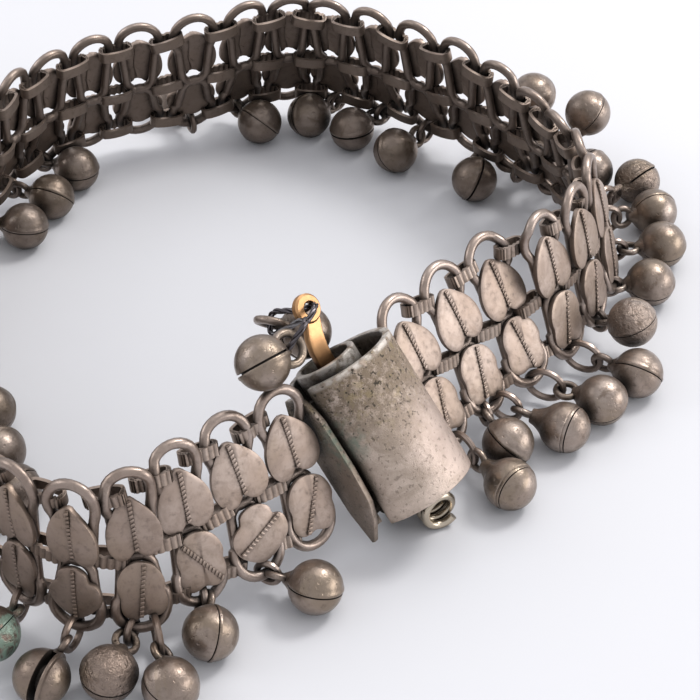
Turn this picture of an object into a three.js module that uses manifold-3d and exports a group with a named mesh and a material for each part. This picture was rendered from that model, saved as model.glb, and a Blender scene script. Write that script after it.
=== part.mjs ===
import * as THREE from "three";
import { mergeVertices } from "three/addons/utils/BufferGeometryUtils.js";
import Module from "manifold-3d";

// Payal anklet: a band of leaf plates and wire rings standing in a loop on its bells, closed by
// a barrel clasp with a gold-coloured pin. Millimetres, +Z up, the table at Z = 0.

const wasm = await Module();
wasm.setup();

// The clearance between bodies, and the edge length that a fused body drops.
const GAP = 0.3;
const MERGE = 0.015;

// Band, measured up its own lean from the wire at its lower edge.
const COLUMNS = 37;
const SPLIT_COLUMN = 20;
const WIRE = 1.0;
const RING_OUTER = 6.0;
const ARC_RADIUS = (RING_OUTER - WIRE) / 2;
const BAND_RISE = 16.7;
const ARC_PAST_HALF = 0.15;
const ARC_STEPS = 4;
const WIRE_SIDES = 5;
const PLATE = 1.3;
const LEAF_HALF_WIDTH = 2.9;
const LEAF_HALF_HEIGHT = 3.1;
const LEAF_SHOULDER = 0.62;
const LEAF_LOBE = 0.72;
const LINK_HALF_HEIGHT = 0.75;
const MIDDLE_LEVEL = BAND_RISE / 2;
const UPPER_LEVEL = BAND_RISE - ARC_RADIUS - 0.4;
const LOWER_LEVEL = ARC_RADIUS + 0.4;

// Bells.
const BELL = 5.7;
const BELL_SIDES = 10;
const BELL_RADIUS = BELL / 2;
const BELT_SHARE = 0.16;
const LOOP_WIRE = 0.6;
const LOOP_BEND = 1.25;
const LOOP_FOOT = 0.75;
const PEAR_NECK = 1.4;
const REST_HEIGHT = BELL_RADIUS * Math.cos(Math.PI / BELL_SIDES);

// Barrel clasp.
const BARREL_OUTER = 11.5;
const BARREL_WALL = 0.8;
const BARREL_SIDES = 20;
const SLOT_WIDTH = 2.4;
const TUBE_OUTER = 6.5;
const TUBE_WALL = 0.75;
const TUBE_SIDES = 14;
const TUBE_SHIFT = -1.3;
const TUBE_RISE = 0.9;
const PLATE_END = 0.6;

// The pin, a flat bar: its centre line in the barrel's own frame, bent over into a hook.
const PIN_WIDTH = 1.8;
const PIN_THICK = 0.9;
const EYE = { x: 0.2, y: 21.4, radius: 1.15 };
const PIN_LINE = [[TUBE_SHIFT, 5.5], [TUBE_SHIFT, 17.2]];

// The black wire and its two bells, in the barrel's own frame, and the coil of wire on the table.
const TIE_WIRE = 0.6;
const TIE_REACH = 1.2;
const TIE_SEAT = 0.18;
const TIE_LOOP = 1.55;
const FRONT_BELL = { centre: [-9.15, 20.87, 3.07], loop: [-5.9, 20.3, 3.0], face: [-0.54, 0.22, 0.82] };
const BACK_BELL = { centre: [1.2, 18.8, -4.2], loop: [-1.35, 21.5, -4.2], face: [0.55, 0.83, 0.14] };
const TIE_TURN = [-3.4, 22.0, 5.4];
const COIL = { x: 7.9, y: -26.4, rest: 0.2, radius: 1.5, wire: 0.75, pitch: 1.05, turns: 2.2, steps: 16 };

// The band's lower edge on the table, from the clasp's left side round the loop to its right
// side: place and lean in degrees, the top towards the middle of the loop.
const ROUTE = [
  { x: -3.2, y: -32.4, lean: 22 }, { x: -8.2, y: -36.6, lean: 24 },
  { x: -13.6, y: -39.8, lean: 18 }, { x: -18.9, y: -43.3, lean: 14 },
  { x: -24.9, y: -43.2, lean: 6 }, { x: -30.2, y: -39.9, lean: 2 },
  { x: -35.2, y: -35.2, lean: 2 }, { x: -39.2, y: -29.0, lean: 4 },
  { x: -42.0, y: -21.5, lean: 6 }, { x: -43.8, y: -13.0, lean: 8 },
  { x: -44.6, y: -3.5, lean: 8 }, { x: -44.3, y: 6.5, lean: 8 },
  { x: -42.6, y: 16.0, lean: 8 }, { x: -41.2, y: 24.6, lean: 10 },
  { x: -37.3, y: 30.8, lean: 12 }, { x: -32.2, y: 35.0, lean: 12 },
  { x: -26.0, y: 38.0, lean: 11 }, { x: -19.2, y: 39.8, lean: 10 },
  { x: -13.0, y: 43.4, lean: 12 }, { x: -7.0, y: 45.6, lean: 14 },
  { x: -0.5, y: 44.4, lean: 14 }, { x: 5.7, y: 41.2, lean: 13 },
  { x: 11.1, y: 37.4, lean: 12 }, { x: 16.5, y: 32.8, lean: 12 },
  { x: 21.7, y: 28.0, lean: 16 }, { x: 26.4, y: 22.4, lean: 20 },
  { x: 29.2, y: 15.6, lean: 18 }, { x: 29.2, y: 8.4, lean: 14 },
  { x: 26.8, y: 1.9, lean: 14 }, { x: 23.0, y: -4.5, lean: 20 },
  { x: 18.9, y: -8.7, lean: 31 }, { x: 14.7, y: -12.9, lean: 30 },
  { x: 10.7, y: -17.9, lean: 31 },
];

// The bells: the column each hangs from, its centre along and out from that column's lower wire
// and how high it lies above the bells on the table, all as shares of a bell; and where its loop
// runs round the lower wire, as a share of one straight stretch from the wire's lowest point.
const BELLS = [
  { column: 1, along: 0.53, out: 0.72, lift: 0, hook: 0.2, shape: "round" },
  { column: 2, along: -0.28, out: 0.68, lift: 0, hook: 0, shape: "round" },
  { column: 3, along: -0.76, out: 0.80, lift: 0, hook: -0.5, shape: "round" },
  { column: 3, along: 0.13, out: 1.32, lift: 0, hook: 0.4, shape: "round" },
  { column: 4, along: -0.07, out: 1.19, lift: 0, hook: 0, shape: "round" },
  { column: 5, along: 0.39, out: 1.08, lift: 0.33, hook: 0, shape: "round" },
  { column: 6, along: 0.00, out: 0.95, lift: 0, hook: 0, shape: "round" },
  { column: 7, along: -0.32, out: -1.29, lift: 0, hook: 0, shape: "round" },
  { column: 8, along: -0.47, out: -1.24, lift: 0, hook: -0.4, shape: "round" },
  { column: 8, along: 0.11, out: 0.98, lift: 0, hook: 0.4, shape: "round" },
  { column: 10, along: 0.42, out: -1.17, lift: 0, hook: 0, shape: "round" },
  { column: 9, along: -0.18, out: 0.84, lift: 0, hook: 0, shape: "round" },
  { column: 11, along: 0.00, out: 0.98, lift: 0, hook: 0, shape: "round" },
  { column: 12, along: -0.18, out: 0.95, lift: 0, hook: 0, shape: "round" },
  { column: 14, along: 0.00, out: 0.98, lift: 0, hook: 0, shape: "round" },
  { column: 15, along: -0.20, out: 0.95, lift: 0, hook: -0.45, shape: "round" },
  { column: 15, along: 0.20, out: -0.90, lift: 0, hook: 0.45, shape: "round" },
  { column: 16, along: -0.13, out: -1.05, lift: 0, hook: 0, shape: "round" },
  { column: 17, along: -0.31, out: -0.72, lift: 0, hook: 0, shape: "round" },
  { column: 20, along: 0.00, out: 0.95, lift: 0, hook: 0, shape: "round" },
  { column: 21, along: -0.16, out: -0.71, lift: 0, hook: 0, shape: "round" },
  { column: 23, along: 0.40, out: -0.76, lift: 0, hook: 0, shape: "round" },
  { column: 24, along: 0.28, out: -0.92, lift: 0, hook: 0, shape: "round" },
  { column: 25, along: 0.10, out: -1.10, lift: 0, hook: 0, shape: "round" },
  { column: 26, along: -0.75, out: -0.86, lift: 0, hook: -0.4, shape: "round" },
  { column: 27, along: -0.20, out: 0.80, lift: 0, hook: -0.45, shape: "round" },
  { column: 27, along: 0.60, out: 1.30, lift: 0.9, hook: 0.4, shape: "round" },
  { column: 28, along: 0.00, out: 1.04, lift: 0, hook: -0.3, shape: "round" },
  { column: 28, along: 0.55, out: 1.45, lift: 0.98, hook: 0.4, shape: "round" },
  { column: 29, along: 0.65, out: 1.52, lift: 0, hook: 0.45, shape: "round" },
  { column: 29, along: -0.40, out: 1.26, lift: 0, hook: -0.45, shape: "round" },
  { column: 30, along: 0.06, out: 1.04, lift: 0, hook: 0, shape: "round" },
  { column: 31, along: 0.25, out: 0.69, lift: 0, hook: 0, shape: "round" },
  { column: 32, along: -0.28, out: 0.77, lift: 0.41, hook: 0, shape: "round" },
  { column: 33, along: 0.19, out: 1.30, lift: 0, hook: 0, shape: "round" },
  { column: 34, along: 0.50, out: 1.22, lift: 0, hook: 0, shape: "round" },
  { column: 35, along: 0.50, out: 1.26, lift: 0, hook: 0.5, shape: "pear" },
  { column: 35, along: -0.50, out: 0.76, lift: 0, hook: -0.45, shape: "round" },
  { column: 36, along: -0.26, out: 1.38, lift: 0, hook: 0, shape: "pear" },
];

// The barrel's foot and head on its axis.
const BARREL_FOOT = new THREE.Vector3(6.9, -26.7, 4.3);
const BARREL_HEAD = new THREE.Vector3(-1.2, -21.0, 16.4);
const BARREL_LENGTH = BARREL_FOOT.distanceTo(BARREL_HEAD);

const silver = new THREE.MeshStandardMaterial({
  name: "silver", color: 0x8c8379, metalness: 0.9, roughness: 0.42,
});
const barrelSilver = new THREE.MeshStandardMaterial({
  name: "barrel_silver", color: 0x9a9182, metalness: 0.85, roughness: 0.55,
});
const gold = new THREE.MeshStandardMaterial({
  name: "gold", color: 0xd8a868, metalness: 0.95, roughness: 0.3,
});
const blackWire = new THREE.MeshStandardMaterial({
  name: "black_wire", color: 0x3c3a3c, metalness: 0.85, roughness: 0.35,
});

// A curve through a point that moves with t, stepped evenly in t.
class PathCurve extends THREE.Curve {
  constructor(pointAt) {
    super();
    this.pointAt = pointAt;
  }

  getPoint(t) {
    return this.pointAt(t);
  }

  getUtoTmapping(u) {
    return u;
  }
}

// A curve of straight stretches from point to point, for as many steps as stretches.
function pathThrough(points) {
  const last = points.length - 1;
  return new PathCurve((t) => {
    const index = Math.min(Math.floor(t * last), last - 1);
    return points[index].clone().lerp(points[index + 1], t * last - index);
  });
}

// A closed body from a three.js geometry, with doubled points merged and empty faces left out.
function body(geometry) {
  const bare = geometry.index ? geometry.toNonIndexed() : geometry.clone();
  bare.deleteAttribute("normal");
  bare.deleteAttribute("uv");
  const merged = mergeVertices(bare, 1e-4);
  const corners = merged.index.array;
  const faces = [];
  for (let i = 0; i < corners.length; i += 3) {
    const [a, b, c] = [corners[i], corners[i + 1], corners[i + 2]];
    if (a !== b && b !== c && c !== a) faces.push(a, b, c);
  }
  return new wasm.Manifold(new wasm.Mesh({
    numProp: 3,
    vertProperties: Float32Array.from(merged.attributes.position.array),
    triVerts: Uint32Array.from(faces),
  }));
}

function geometryOf(solid) {
  const mesh = solid.getMesh();
  const geometry = new THREE.BufferGeometry();
  geometry.setAttribute("position", new THREE.BufferAttribute(mesh.vertProperties, 3));
  geometry.setIndex(new THREE.BufferAttribute(mesh.triVerts, 1));
  geometry.computeVertexNormals();
  return geometry;
}

// A body with edges shorter than the merge distance taken out and the empty pockets left where
// flat faces meet dropped.
function tidied(solid) {
  const parts = solid.asOriginal().simplify(MERGE).decompose();
  return parts.reduce((most, one) => (one.volume() > most.volume() ? one : most));
}

function fuse(solids) {
  return tidied(wasm.Manifold.union(solids));
}

// A round wire along a curve, with few flat sides.
function wireBody(curve, wire, steps) {
  const section = new THREE.Shape();
  for (let i = 0; i < WIRE_SIDES; i += 1) {
    const turn = (i / WIRE_SIDES) * 2 * Math.PI;
    const [x, y] = [Math.cos(turn) * wire / 2, Math.sin(turn) * wire / 2];
    if (i === 0) section.moveTo(x, y);
    else section.lineTo(x, y);
  }
  return new THREE.ExtrudeGeometry(section, { steps, extrudePath: curve, bevelEnabled: false });
}

// The columns' places.

const routeCurve = new THREE.CatmullRomCurve3(
  ROUTE.map(({ x, y }) => new THREE.Vector3(x, y, REST_HEIGHT)), false, "centripetal");
routeCurve.arcLengthDivisions = 2000;
const leanCurve = new THREE.CatmullRomCurve3(
  ROUTE.map(({ x, y, lean }) => new THREE.Vector3(x, y, lean)), false, "centripetal");

function columnFrame(index) {
  const share = index / (COLUMNS - 1);
  const t = routeCurve.getUtoTmapping(share);
  const origin = routeCurve.getPoint(t);
  const side = routeCurve.getTangent(t).negate().setZ(0).normalize();
  const outward = new THREE.Vector3(side.y, -side.x, 0);
  const lean = THREE.MathUtils.degToRad(leanCurve.getPoint(t).z);
  const up = new THREE.Vector3(0, 0, Math.cos(lean)).addScaledVector(outward, -Math.sin(lean));
  const face = new THREE.Vector3().crossVectors(side, up);
  return { origin, side, up, face, outward };
}

const FRAMES = Array.from({ length: COLUMNS }, (_, index) => columnFrame(index));
const PITCH = routeCurve.getLength() / (COLUMNS - 1);

function inColumn(frame, x, y, z) {
  return frame.origin.clone()
    .addScaledVector(frame.side, x)
    .addScaledVector(frame.up, y)
    .addScaledVector(frame.face, z);
}

// A point of one column's band; past its leaf it turns towards the next column's, and at half
// the pitch it is midway between the two.
function inBand(index, x, y, z) {
  const own = inColumn(FRAMES[index], x, y, z);
  const next = x > 0 ? index - 1 : index + 1;
  const root = LEAF_SHOULDER * LEAF_HALF_WIDTH;
  if (Math.abs(x) <= root || !joins(index, next)) return own;
  const reach = (Math.abs(x) - root) / (PITCH / 2 - root);
  const atEnd = reach > 0.999;
  const share = atEnd ? 0.5 : reach / 2;
  const other = inColumn(FRAMES[next], atEnd ? -x : x - Math.sign(x) * PITCH, y, z);
  return own.multiplyScalar(1 - share).add(other.multiplyScalar(share));
}

function joins(index, next) {
  const lowest = Math.min(index, next);
  return lowest >= 0 && Math.max(index, next) < COLUMNS && lowest !== SPLIT_COLUMN - 1;
}

// The band.

// One column's outline: a leaf with its tip up, a leaf with its tip down, and half of each flat
// link that joins them to the columns beside them.
function leafPairShape(leftEnd, rightEnd) {
  const upper = UPPER_LEVEL;
  const lower = LOWER_LEVEL;
  const half = LINK_HALF_HEIGHT;
  const rightSide = (end) => [
    [end, upper + half],
    [end, upper - half],
    [LEAF_SHOULDER * LEAF_HALF_WIDTH, upper - half],
    [LEAF_HALF_WIDTH, MIDDLE_LEVEL + LEAF_HALF_HEIGHT],
    [LEAF_LOBE * LEAF_HALF_WIDTH, MIDDLE_LEVEL + half],
    [end, MIDDLE_LEVEL + half],
    [end, MIDDLE_LEVEL - half],
    [LEAF_LOBE * LEAF_HALF_WIDTH, MIDDLE_LEVEL - half],
    [LEAF_HALF_WIDTH, MIDDLE_LEVEL - LEAF_HALF_HEIGHT],
    [LEAF_SHOULDER * LEAF_HALF_WIDTH, lower + half],
    [end, lower + half],
    [end, lower - half],
  ];
  const points = [
    ...rightSide(rightEnd),
    ...rightSide(leftEnd).reverse().map(([x, y]) => [-x, y]),
  ];
  return new THREE.Shape(points.map(([x, y]) => new THREE.Vector2(x, y)));
}

// The flat outline takes thickness, then each point goes to its column; the ends of its links
// meet the next column's halfway.
function leafPair(index) {
  const end = PITCH / 2;
  const open = end - GAP / 2;
  const geometry = new THREE.ExtrudeGeometry(
    leafPairShape(joins(index, index + 1) ? end : open, joins(index, index - 1) ? end : open),
    { depth: PLATE, bevelEnabled: false });
  geometry.translate(0, 0, -PLATE / 2);
  const place = geometry.attributes.position;
  const point = new THREE.Vector3();
  for (let i = 0; i < place.count; i += 1) {
    point.fromBufferAttribute(place, i);
    const target = inBand(index, point.x, point.y, point.z);
    place.setXYZ(i, target.x, target.y, target.z);
  }
  return body(geometry);
}

// A point of the half ring past a column's leaves, from t = 0 at one leg to t = 1 at the other.
function onArc(index, centreLevel, direction, t) {
  const turn = -ARC_PAST_HALF + t * (Math.PI + 2 * ARC_PAST_HALF);
  return inBand(index, -Math.cos(turn) * ARC_RADIUS,
    centreLevel + direction * Math.sin(turn) * ARC_RADIUS, 0);
}

// Half a wire ring standing past the leaves, its legs inside the flat links.
function edgeArc(index, centreLevel, direction) {
  const curve = new PathCurve((t) => onArc(index, centreLevel, direction, t));
  return body(wireBody(curve, WIRE, ARC_STEPS));
}

function columnBodies(index) {
  return [
    leafPair(index),
    edgeArc(index, BAND_RISE - ARC_RADIUS, 1),
    edgeArc(index, ARC_RADIUS, -1),
  ];
}

// Bells.

// Where one bell hangs: the point of the lower wire that its loop runs round, the way from there
// to its centre, and how far that is.
function bellPlace({ column, along, out, lift, hook, shape }) {
  const frame = FRAMES[column];
  const lowest = onArc(column, ARC_RADIUS, -1, 0.5);
  const beside = onArc(column, ARC_RADIUS, -1, 0.5 + Math.sign(hook) / ARC_STEPS);
  const start = lowest.lerp(beside, Math.abs(hook));
  const centre = frame.origin.clone()
    .addScaledVector(frame.side, along * BELL)
    .addScaledVector(frame.outward, out * BELL);
  centre.z += lift * BELL;
  const toBell = centre.clone().sub(start);
  const reach = toBell.length();
  toBell.normalize();
  const upright = new THREE.Vector3(0, 0, 1).addScaledVector(toBell, -toBell.z).normalize();
  return { centre, toBell, upright, reach, shape };
}

// Half sections from the foot's pole to the top's.
function bellProfile(shape) {
  const r = BELL_RADIUS;
  const foot = [[0, -r], [0.66 * r, -0.75 * r], [r, -BELT_SHARE * r], [r, BELT_SHARE * r]];
  const round = [[0.7 * r, 0.72 * r], [0, r]];
  const pear = [[0.55 * r, 0.95 * r], [0, r + PEAR_NECK]];
  return [...foot, ...(shape === "pear" ? pear : round)].map(([x, y]) => new THREE.Vector2(x, y));
}

function bellShell(shape) {
  return body(new THREE.LatheGeometry(bellProfile(shape), BELL_SIDES, Math.PI / BELL_SIDES));
}

// A bell about its own centre with +Y to the wire it hangs from; its long loop lies in the YZ
// plane, from inside the shell round the wire at the given reach and back.
function bellBody(shape, reach) {
  const foot = new THREE.Vector3(0, BELL_RADIUS - LOOP_WIRE, LOOP_FOOT);
  const bends = [90, 30, -30, -90].map((degrees) => {
    const turn = THREE.MathUtils.degToRad(degrees);
    return new THREE.Vector3(0, reach + Math.cos(turn) * LOOP_BEND, Math.sin(turn) * LOOP_BEND);
  });
  const path = [foot, ...bends, foot.clone().setZ(-LOOP_FOOT)];
  const loop = body(wireBody(pathThrough(path), LOOP_WIRE, path.length - 1));
  return fuse([bellShell(shape), loop]);
}

// A bell in its place, nowhere below the table.
function bellAt({ centre, toBell, upright, reach, shape }) {
  const y = toBell.clone().negate();
  const x = new THREE.Vector3().crossVectors(y, upright);
  const place = new THREE.Matrix4().makeBasis(x, y, upright).setPosition(centre);
  const solid = bellBody(shape, reach).transform(place.elements);
  return solid.translate([0, 0, Math.max(-solid.boundingBox().min[2], 0)]);
}

// The clasp, in the barrel's own frame: +Y up its axis, +X to the band's right end.

const barrelUp = BARREL_HEAD.clone().sub(BARREL_FOOT).normalize();
const barrelSide = FRAMES[COLUMNS - 1].origin.clone().sub(FRAMES[0].origin);
barrelSide.addScaledVector(barrelUp, -barrelSide.dot(barrelUp)).normalize();
const barrelFace = new THREE.Vector3().crossVectors(barrelSide, barrelUp);
const BARREL_PLACE = new THREE.Matrix4().makeBasis(barrelSide, barrelUp, barrelFace)
  .setPosition(BARREL_FOOT);
const TUBE_TOP = BARREL_LENGTH + TUBE_RISE;

function inBarrel(solid) {
  return solid.transform(BARREL_PLACE.elements);
}

// A flat outline drawn across the barrel, extruded up its axis from one height to another.
function acrossBarrel(shape, from, to, sides) {
  const geometry = new THREE.ExtrudeGeometry(shape, {
    depth: to - from, bevelEnabled: false, curveSegments: sides,
  });
  geometry.rotateX(-Math.PI / 2);
  geometry.translate(0, from, 0);
  return body(geometry);
}

function boxBody(size, centre) {
  const geometry = new THREE.BoxGeometry(...size);
  geometry.translate(...centre);
  return body(geometry);
}

function barrelSleeve() {
  const outer = BARREL_OUTER / 2;
  const inner = outer - BARREL_WALL;
  const shape = new THREE.Shape();
  const outerSlot = Math.PI - Math.asin(SLOT_WIDTH / 2 / outer);
  const innerSlot = Math.PI - Math.asin(SLOT_WIDTH / 2 / inner);
  shape.absarc(0, 0, outer, -outerSlot, outerSlot, false);
  shape.absarc(0, 0, inner, innerSlot, -innerSlot, true);
  shape.closePath();
  return acrossBarrel(shape, 0, BARREL_LENGTH, BARREL_SIDES);
}

function innerTube() {
  const shape = new THREE.Shape();
  shape.absarc(TUBE_SHIFT, 0, TUBE_OUTER / 2, 0, 2 * Math.PI, false);
  const bore = new THREE.Path();
  bore.absarc(TUBE_SHIFT, 0, TUBE_OUTER / 2 - TUBE_WALL, 0, 2 * Math.PI, true);
  shape.holes.push(bore);
  return acrossBarrel(shape, 0.6, TUBE_TOP, TUBE_SIDES);
}

// The strip soldered to the left end of the band, with the web that runs through the slot.
function endPlate() {
  const near = -(BARREL_OUTER / 2 + GAP);
  const outline = [[-1.8, -1.2], [1.5, 2.6], [2.0, 7.0], [1.9, 13.2], [0.8, 15.4], [-1.6, 15.4],
    [-2.6, 13.4], [-2.6, 2.4]];
  const shape = new THREE.Shape(outline.map(([z, y]) => new THREE.Vector2(-z, y)));
  const strip = new THREE.ExtrudeGeometry(shape, { depth: PLATE_END, bevelEnabled: false });
  strip.rotateY(Math.PI / 2);
  strip.translate(near - PLATE_END, 0, 0);
  const tubeWall = TUBE_SHIFT - TUBE_OUTER / 2;
  const webLength = tubeWall - GAP - near + PLATE_END / 2;
  const web = boxBody([webLength, BARREL_LENGTH - 3, 0.9],
    [near - PLATE_END / 2 + webLength / 2, BARREL_LENGTH / 2, 0]);
  return fuse([body(strip), web]);
}

// A flat bar standing in the tube, bent over at the top into a hook.
function pinBar() {
  const hook = [-20, 25, 70, 115, 160, 205].map((degrees) => {
    const turn = THREE.MathUtils.degToRad(degrees);
    return [EYE.x + Math.cos(turn) * EYE.radius, EYE.y + Math.sin(turn) * EYE.radius];
  });
  const path = [...PIN_LINE, ...hook].map(([x, y]) => new THREE.Vector3(x, y, 0));
  const section = new THREE.Shape();
  section.moveTo(-PIN_WIDTH / 2, -PIN_THICK / 2);
  section.lineTo(PIN_WIDTH / 2, -PIN_THICK / 2);
  section.lineTo(PIN_WIDTH / 2, PIN_THICK / 2);
  section.lineTo(-PIN_WIDTH / 2, PIN_THICK / 2);
  return body(new THREE.ExtrudeGeometry(section, {
    steps: path.length - 1, extrudePath: pathThrough(path), bevelEnabled: false,
  }));
}

// A bell with a round wire loop whose flat side faces a given way.
function loopedBell({ centre, loop, face }) {
  const [middle, ring, normal] = [centre, loop, face].map((list) => new THREE.Vector3(...list));
  const y = ring.clone().sub(middle);
  const reach = y.length();
  y.normalize();
  const z = normal.addScaledVector(y, -normal.dot(y)).normalize();
  const x = new THREE.Vector3().crossVectors(y, z);
  const open = THREE.MathUtils.degToRad(20);
  const curve = new PathCurve((t) => {
    const turn = -Math.PI / 2 + open + t * 2 * (Math.PI - open);
    return new THREE.Vector3(Math.cos(turn) * TIE_LOOP, reach + Math.sin(turn) * TIE_LOOP, 0);
  });
  const solid = fuse([bellShell("round"), body(wireBody(curve, LOOP_WIRE, 7))]);
  return solid.transform(new THREE.Matrix4().makeBasis(x, y, z).setPosition(middle).elements);
}

// A closed turn of wire through the pin's hook and the loops of its two bells, where it hangs in
// the far side of each loop: two lengths that run past each other's ends in the hook and between
// the bells.
function tieWire() {
  const through = ({ centre, loop, face }, side) => new THREE.Vector3(...loop)
    .lerp(new THREE.Vector3(...centre), -TIE_SEAT)
    .addScaledVector(new THREE.Vector3(...face), side * TIE_REACH);
  const eye = (side) => new THREE.Vector3(EYE.x, EYE.y, side * (PIN_WIDTH / 2 + GAP + TIE_WIRE));
  const turn = new THREE.Vector3(...TIE_TURN);
  const between = (share) => through(FRONT_BELL, 1).lerp(turn, share);
  const lengths = [
    [eye(-0.2), eye(1), through(FRONT_BELL, -1), through(FRONT_BELL, 1), between(0.6)],
    [between(0.4), turn, through(BACK_BELL, -1), through(BACK_BELL, 1), eye(-1), eye(0.2)],
  ];
  return fuse(lengths.map((path) => body(wireBody(pathThrough(path), TIE_WIRE, path.length - 1))));
}

// A few turns of wire standing on the table under the barrel's foot.
function wireCoil() {
  const { x, y, rest, radius, wire, pitch, turns, steps } = COIL;
  const curve = new PathCurve((t) => {
    const turn = t * turns * 2 * Math.PI;
    return new THREE.Vector3(x + (t - 0.5) * turns * pitch, y + Math.cos(turn) * radius,
      rest + radius + wire / 2 + Math.sin(turn) * radius);
  });
  return body(wireBody(curve, wire, steps));
}

// The meshes.

function meshOf(name, solid, material) {
  const mesh = new THREE.Mesh(geometryOf(solid), material);
  mesh.name = name;
  return mesh;
}

const anklet = new THREE.Group();
anklet.name = "payal_anklet";

const barrelRoom = new THREE.CylinderGeometry(
  BARREL_OUTER / 2 + GAP, BARREL_OUTER / 2 + GAP, BARREL_LENGTH + 4, BARREL_SIDES);
barrelRoom.translate(0, BARREL_LENGTH / 2, 0);
const claspRoom = inBarrel(fuse([
  body(barrelRoom),
  boxBody([PLATE_END + 2 * GAP, BARREL_LENGTH + 2.4, 5.6],
    [-(BARREL_OUTER / 2 + GAP) - PLATE_END / 2, BARREL_LENGTH / 2 - 1, -0.3]),
]));

function bandBody(first, last) {
  const solids = [];
  for (let index = first; index < last; index += 1) solids.push(...columnBodies(index));
  return tidied(wasm.Manifold.union(solids).subtract(claspRoom));
}

anklet.add(meshOf("band_left", bandBody(0, SPLIT_COLUMN), silver));
anklet.add(meshOf("band_right", bandBody(SPLIT_COLUMN, COLUMNS), silver));
BELLS.forEach((row, index) => {
  const name = `bell_${String(index + 1).padStart(2, "0")}`;
  anklet.add(meshOf(name, bellAt(bellPlace(row)), silver));
});
anklet.add(meshOf("barrel_sleeve", inBarrel(barrelSleeve()), barrelSilver));
anklet.add(meshOf("inner_tube", inBarrel(innerTube()), barrelSilver));
anklet.add(meshOf("end_plate", inBarrel(endPlate()), barrelSilver));
anklet.add(meshOf("gold_pin", inBarrel(pinBar()), gold));
anklet.add(meshOf("tie_wire", inBarrel(tieWire()), blackWire));
anklet.add(meshOf("tie_bell_front", inBarrel(loopedBell(FRONT_BELL)), silver));
anklet.add(meshOf("tie_bell_back", inBarrel(loopedBell(BACK_BELL)), silver));
anklet.add(meshOf("wire_coil", wireCoil(), blackWire));

// The loop's own middle stands over the origin.
const extent = new THREE.Box3().setFromObject(anklet);
const middle = extent.getCenter(new THREE.Vector3());
anklet.children.forEach(({ geometry }) => geometry.translate(-middle.x, -middle.y, 0));

export default anklet;
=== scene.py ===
# %% [markdown]
# # Payal anklet
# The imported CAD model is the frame. It gives the true places of the band, bells and clasp; the
# pieces made here stand for its plain solids and bring the detail of cast and soldered metal.

import math
import random

import bmesh
import bpy
from mathutils import Matrix, Vector


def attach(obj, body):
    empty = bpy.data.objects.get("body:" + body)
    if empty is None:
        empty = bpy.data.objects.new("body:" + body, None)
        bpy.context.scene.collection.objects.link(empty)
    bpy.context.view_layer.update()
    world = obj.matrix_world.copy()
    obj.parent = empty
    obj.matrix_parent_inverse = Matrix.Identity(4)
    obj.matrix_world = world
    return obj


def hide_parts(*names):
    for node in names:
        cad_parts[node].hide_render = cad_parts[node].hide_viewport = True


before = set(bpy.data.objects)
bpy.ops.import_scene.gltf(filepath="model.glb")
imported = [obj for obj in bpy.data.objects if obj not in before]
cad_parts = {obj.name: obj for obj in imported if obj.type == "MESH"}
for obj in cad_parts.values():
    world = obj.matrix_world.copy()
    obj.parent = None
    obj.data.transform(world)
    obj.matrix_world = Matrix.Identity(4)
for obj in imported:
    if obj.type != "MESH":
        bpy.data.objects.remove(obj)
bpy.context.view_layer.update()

# %% [markdown]
# ## Sizes and the route
# The real band stands on its lower edge and curves round like a bracelet. Its route could be a
# curve drawn by hand in Blender, but a short list of points can be read and checked against the CAD
# model. Everything is drawn in millimetres and scaled to metres as it becomes an object. Each row
# holds a point of the band's lower edge on the table, from the clasp's left side round to its right
# side, and the band's lean there towards the middle of the loop in degrees.

# %% Sizes and the route
MM = 0.001
MIDDLE = Vector((-7.4536, -2.8055, 0))
COLUMNS = 37
SPLIT = 20
HALVES = {"left": (0, SPLIT), "right": (SPLIT, COLUMNS)}
REST = 2.7105
ROUTE = [
    (-3.2, -32.4, 22), (-8.2, -36.6, 24), (-13.6, -39.8, 18), (-18.9, -43.3, 14),
    (-24.9, -43.2, 6), (-30.2, -39.9, 2), (-35.2, -35.2, 2), (-39.2, -29.0, 4),
    (-42.0, -21.5, 6), (-43.8, -13.0, 8), (-44.6, -3.5, 8), (-44.3, 6.5, 8),
    (-42.6, 16.0, 8), (-41.2, 24.6, 10), (-37.3, 30.8, 12), (-32.2, 35.0, 12),
    (-26.0, 38.0, 11), (-19.2, 39.8, 10), (-13.0, 43.4, 12), (-7.0, 45.6, 14),
    (-0.5, 44.4, 14), (5.7, 41.2, 13), (11.1, 37.4, 12), (16.5, 32.8, 12),
    (21.7, 28.0, 16), (26.4, 22.4, 20), (29.2, 15.6, 18), (29.2, 8.4, 14),
    (26.8, 1.9, 14), (23.0, -4.5, 20), (18.9, -8.7, 31), (14.7, -12.9, 30),
    (10.7, -17.9, 31),
]

print("columns", COLUMNS, "points of the route", len(ROUTE))

# %% [markdown]
# ## The columns' frames
# The band is a chain of stiff columns. An array modifier along a curve could place them, but it
# would bend the leaves and give the bells nothing to hang from. So a centripetal spline runs
# through the route's points and is cut into equal lengths. Each column stands at one of the cuts:
# its side follows the route, and its up leans towards the middle.

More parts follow.
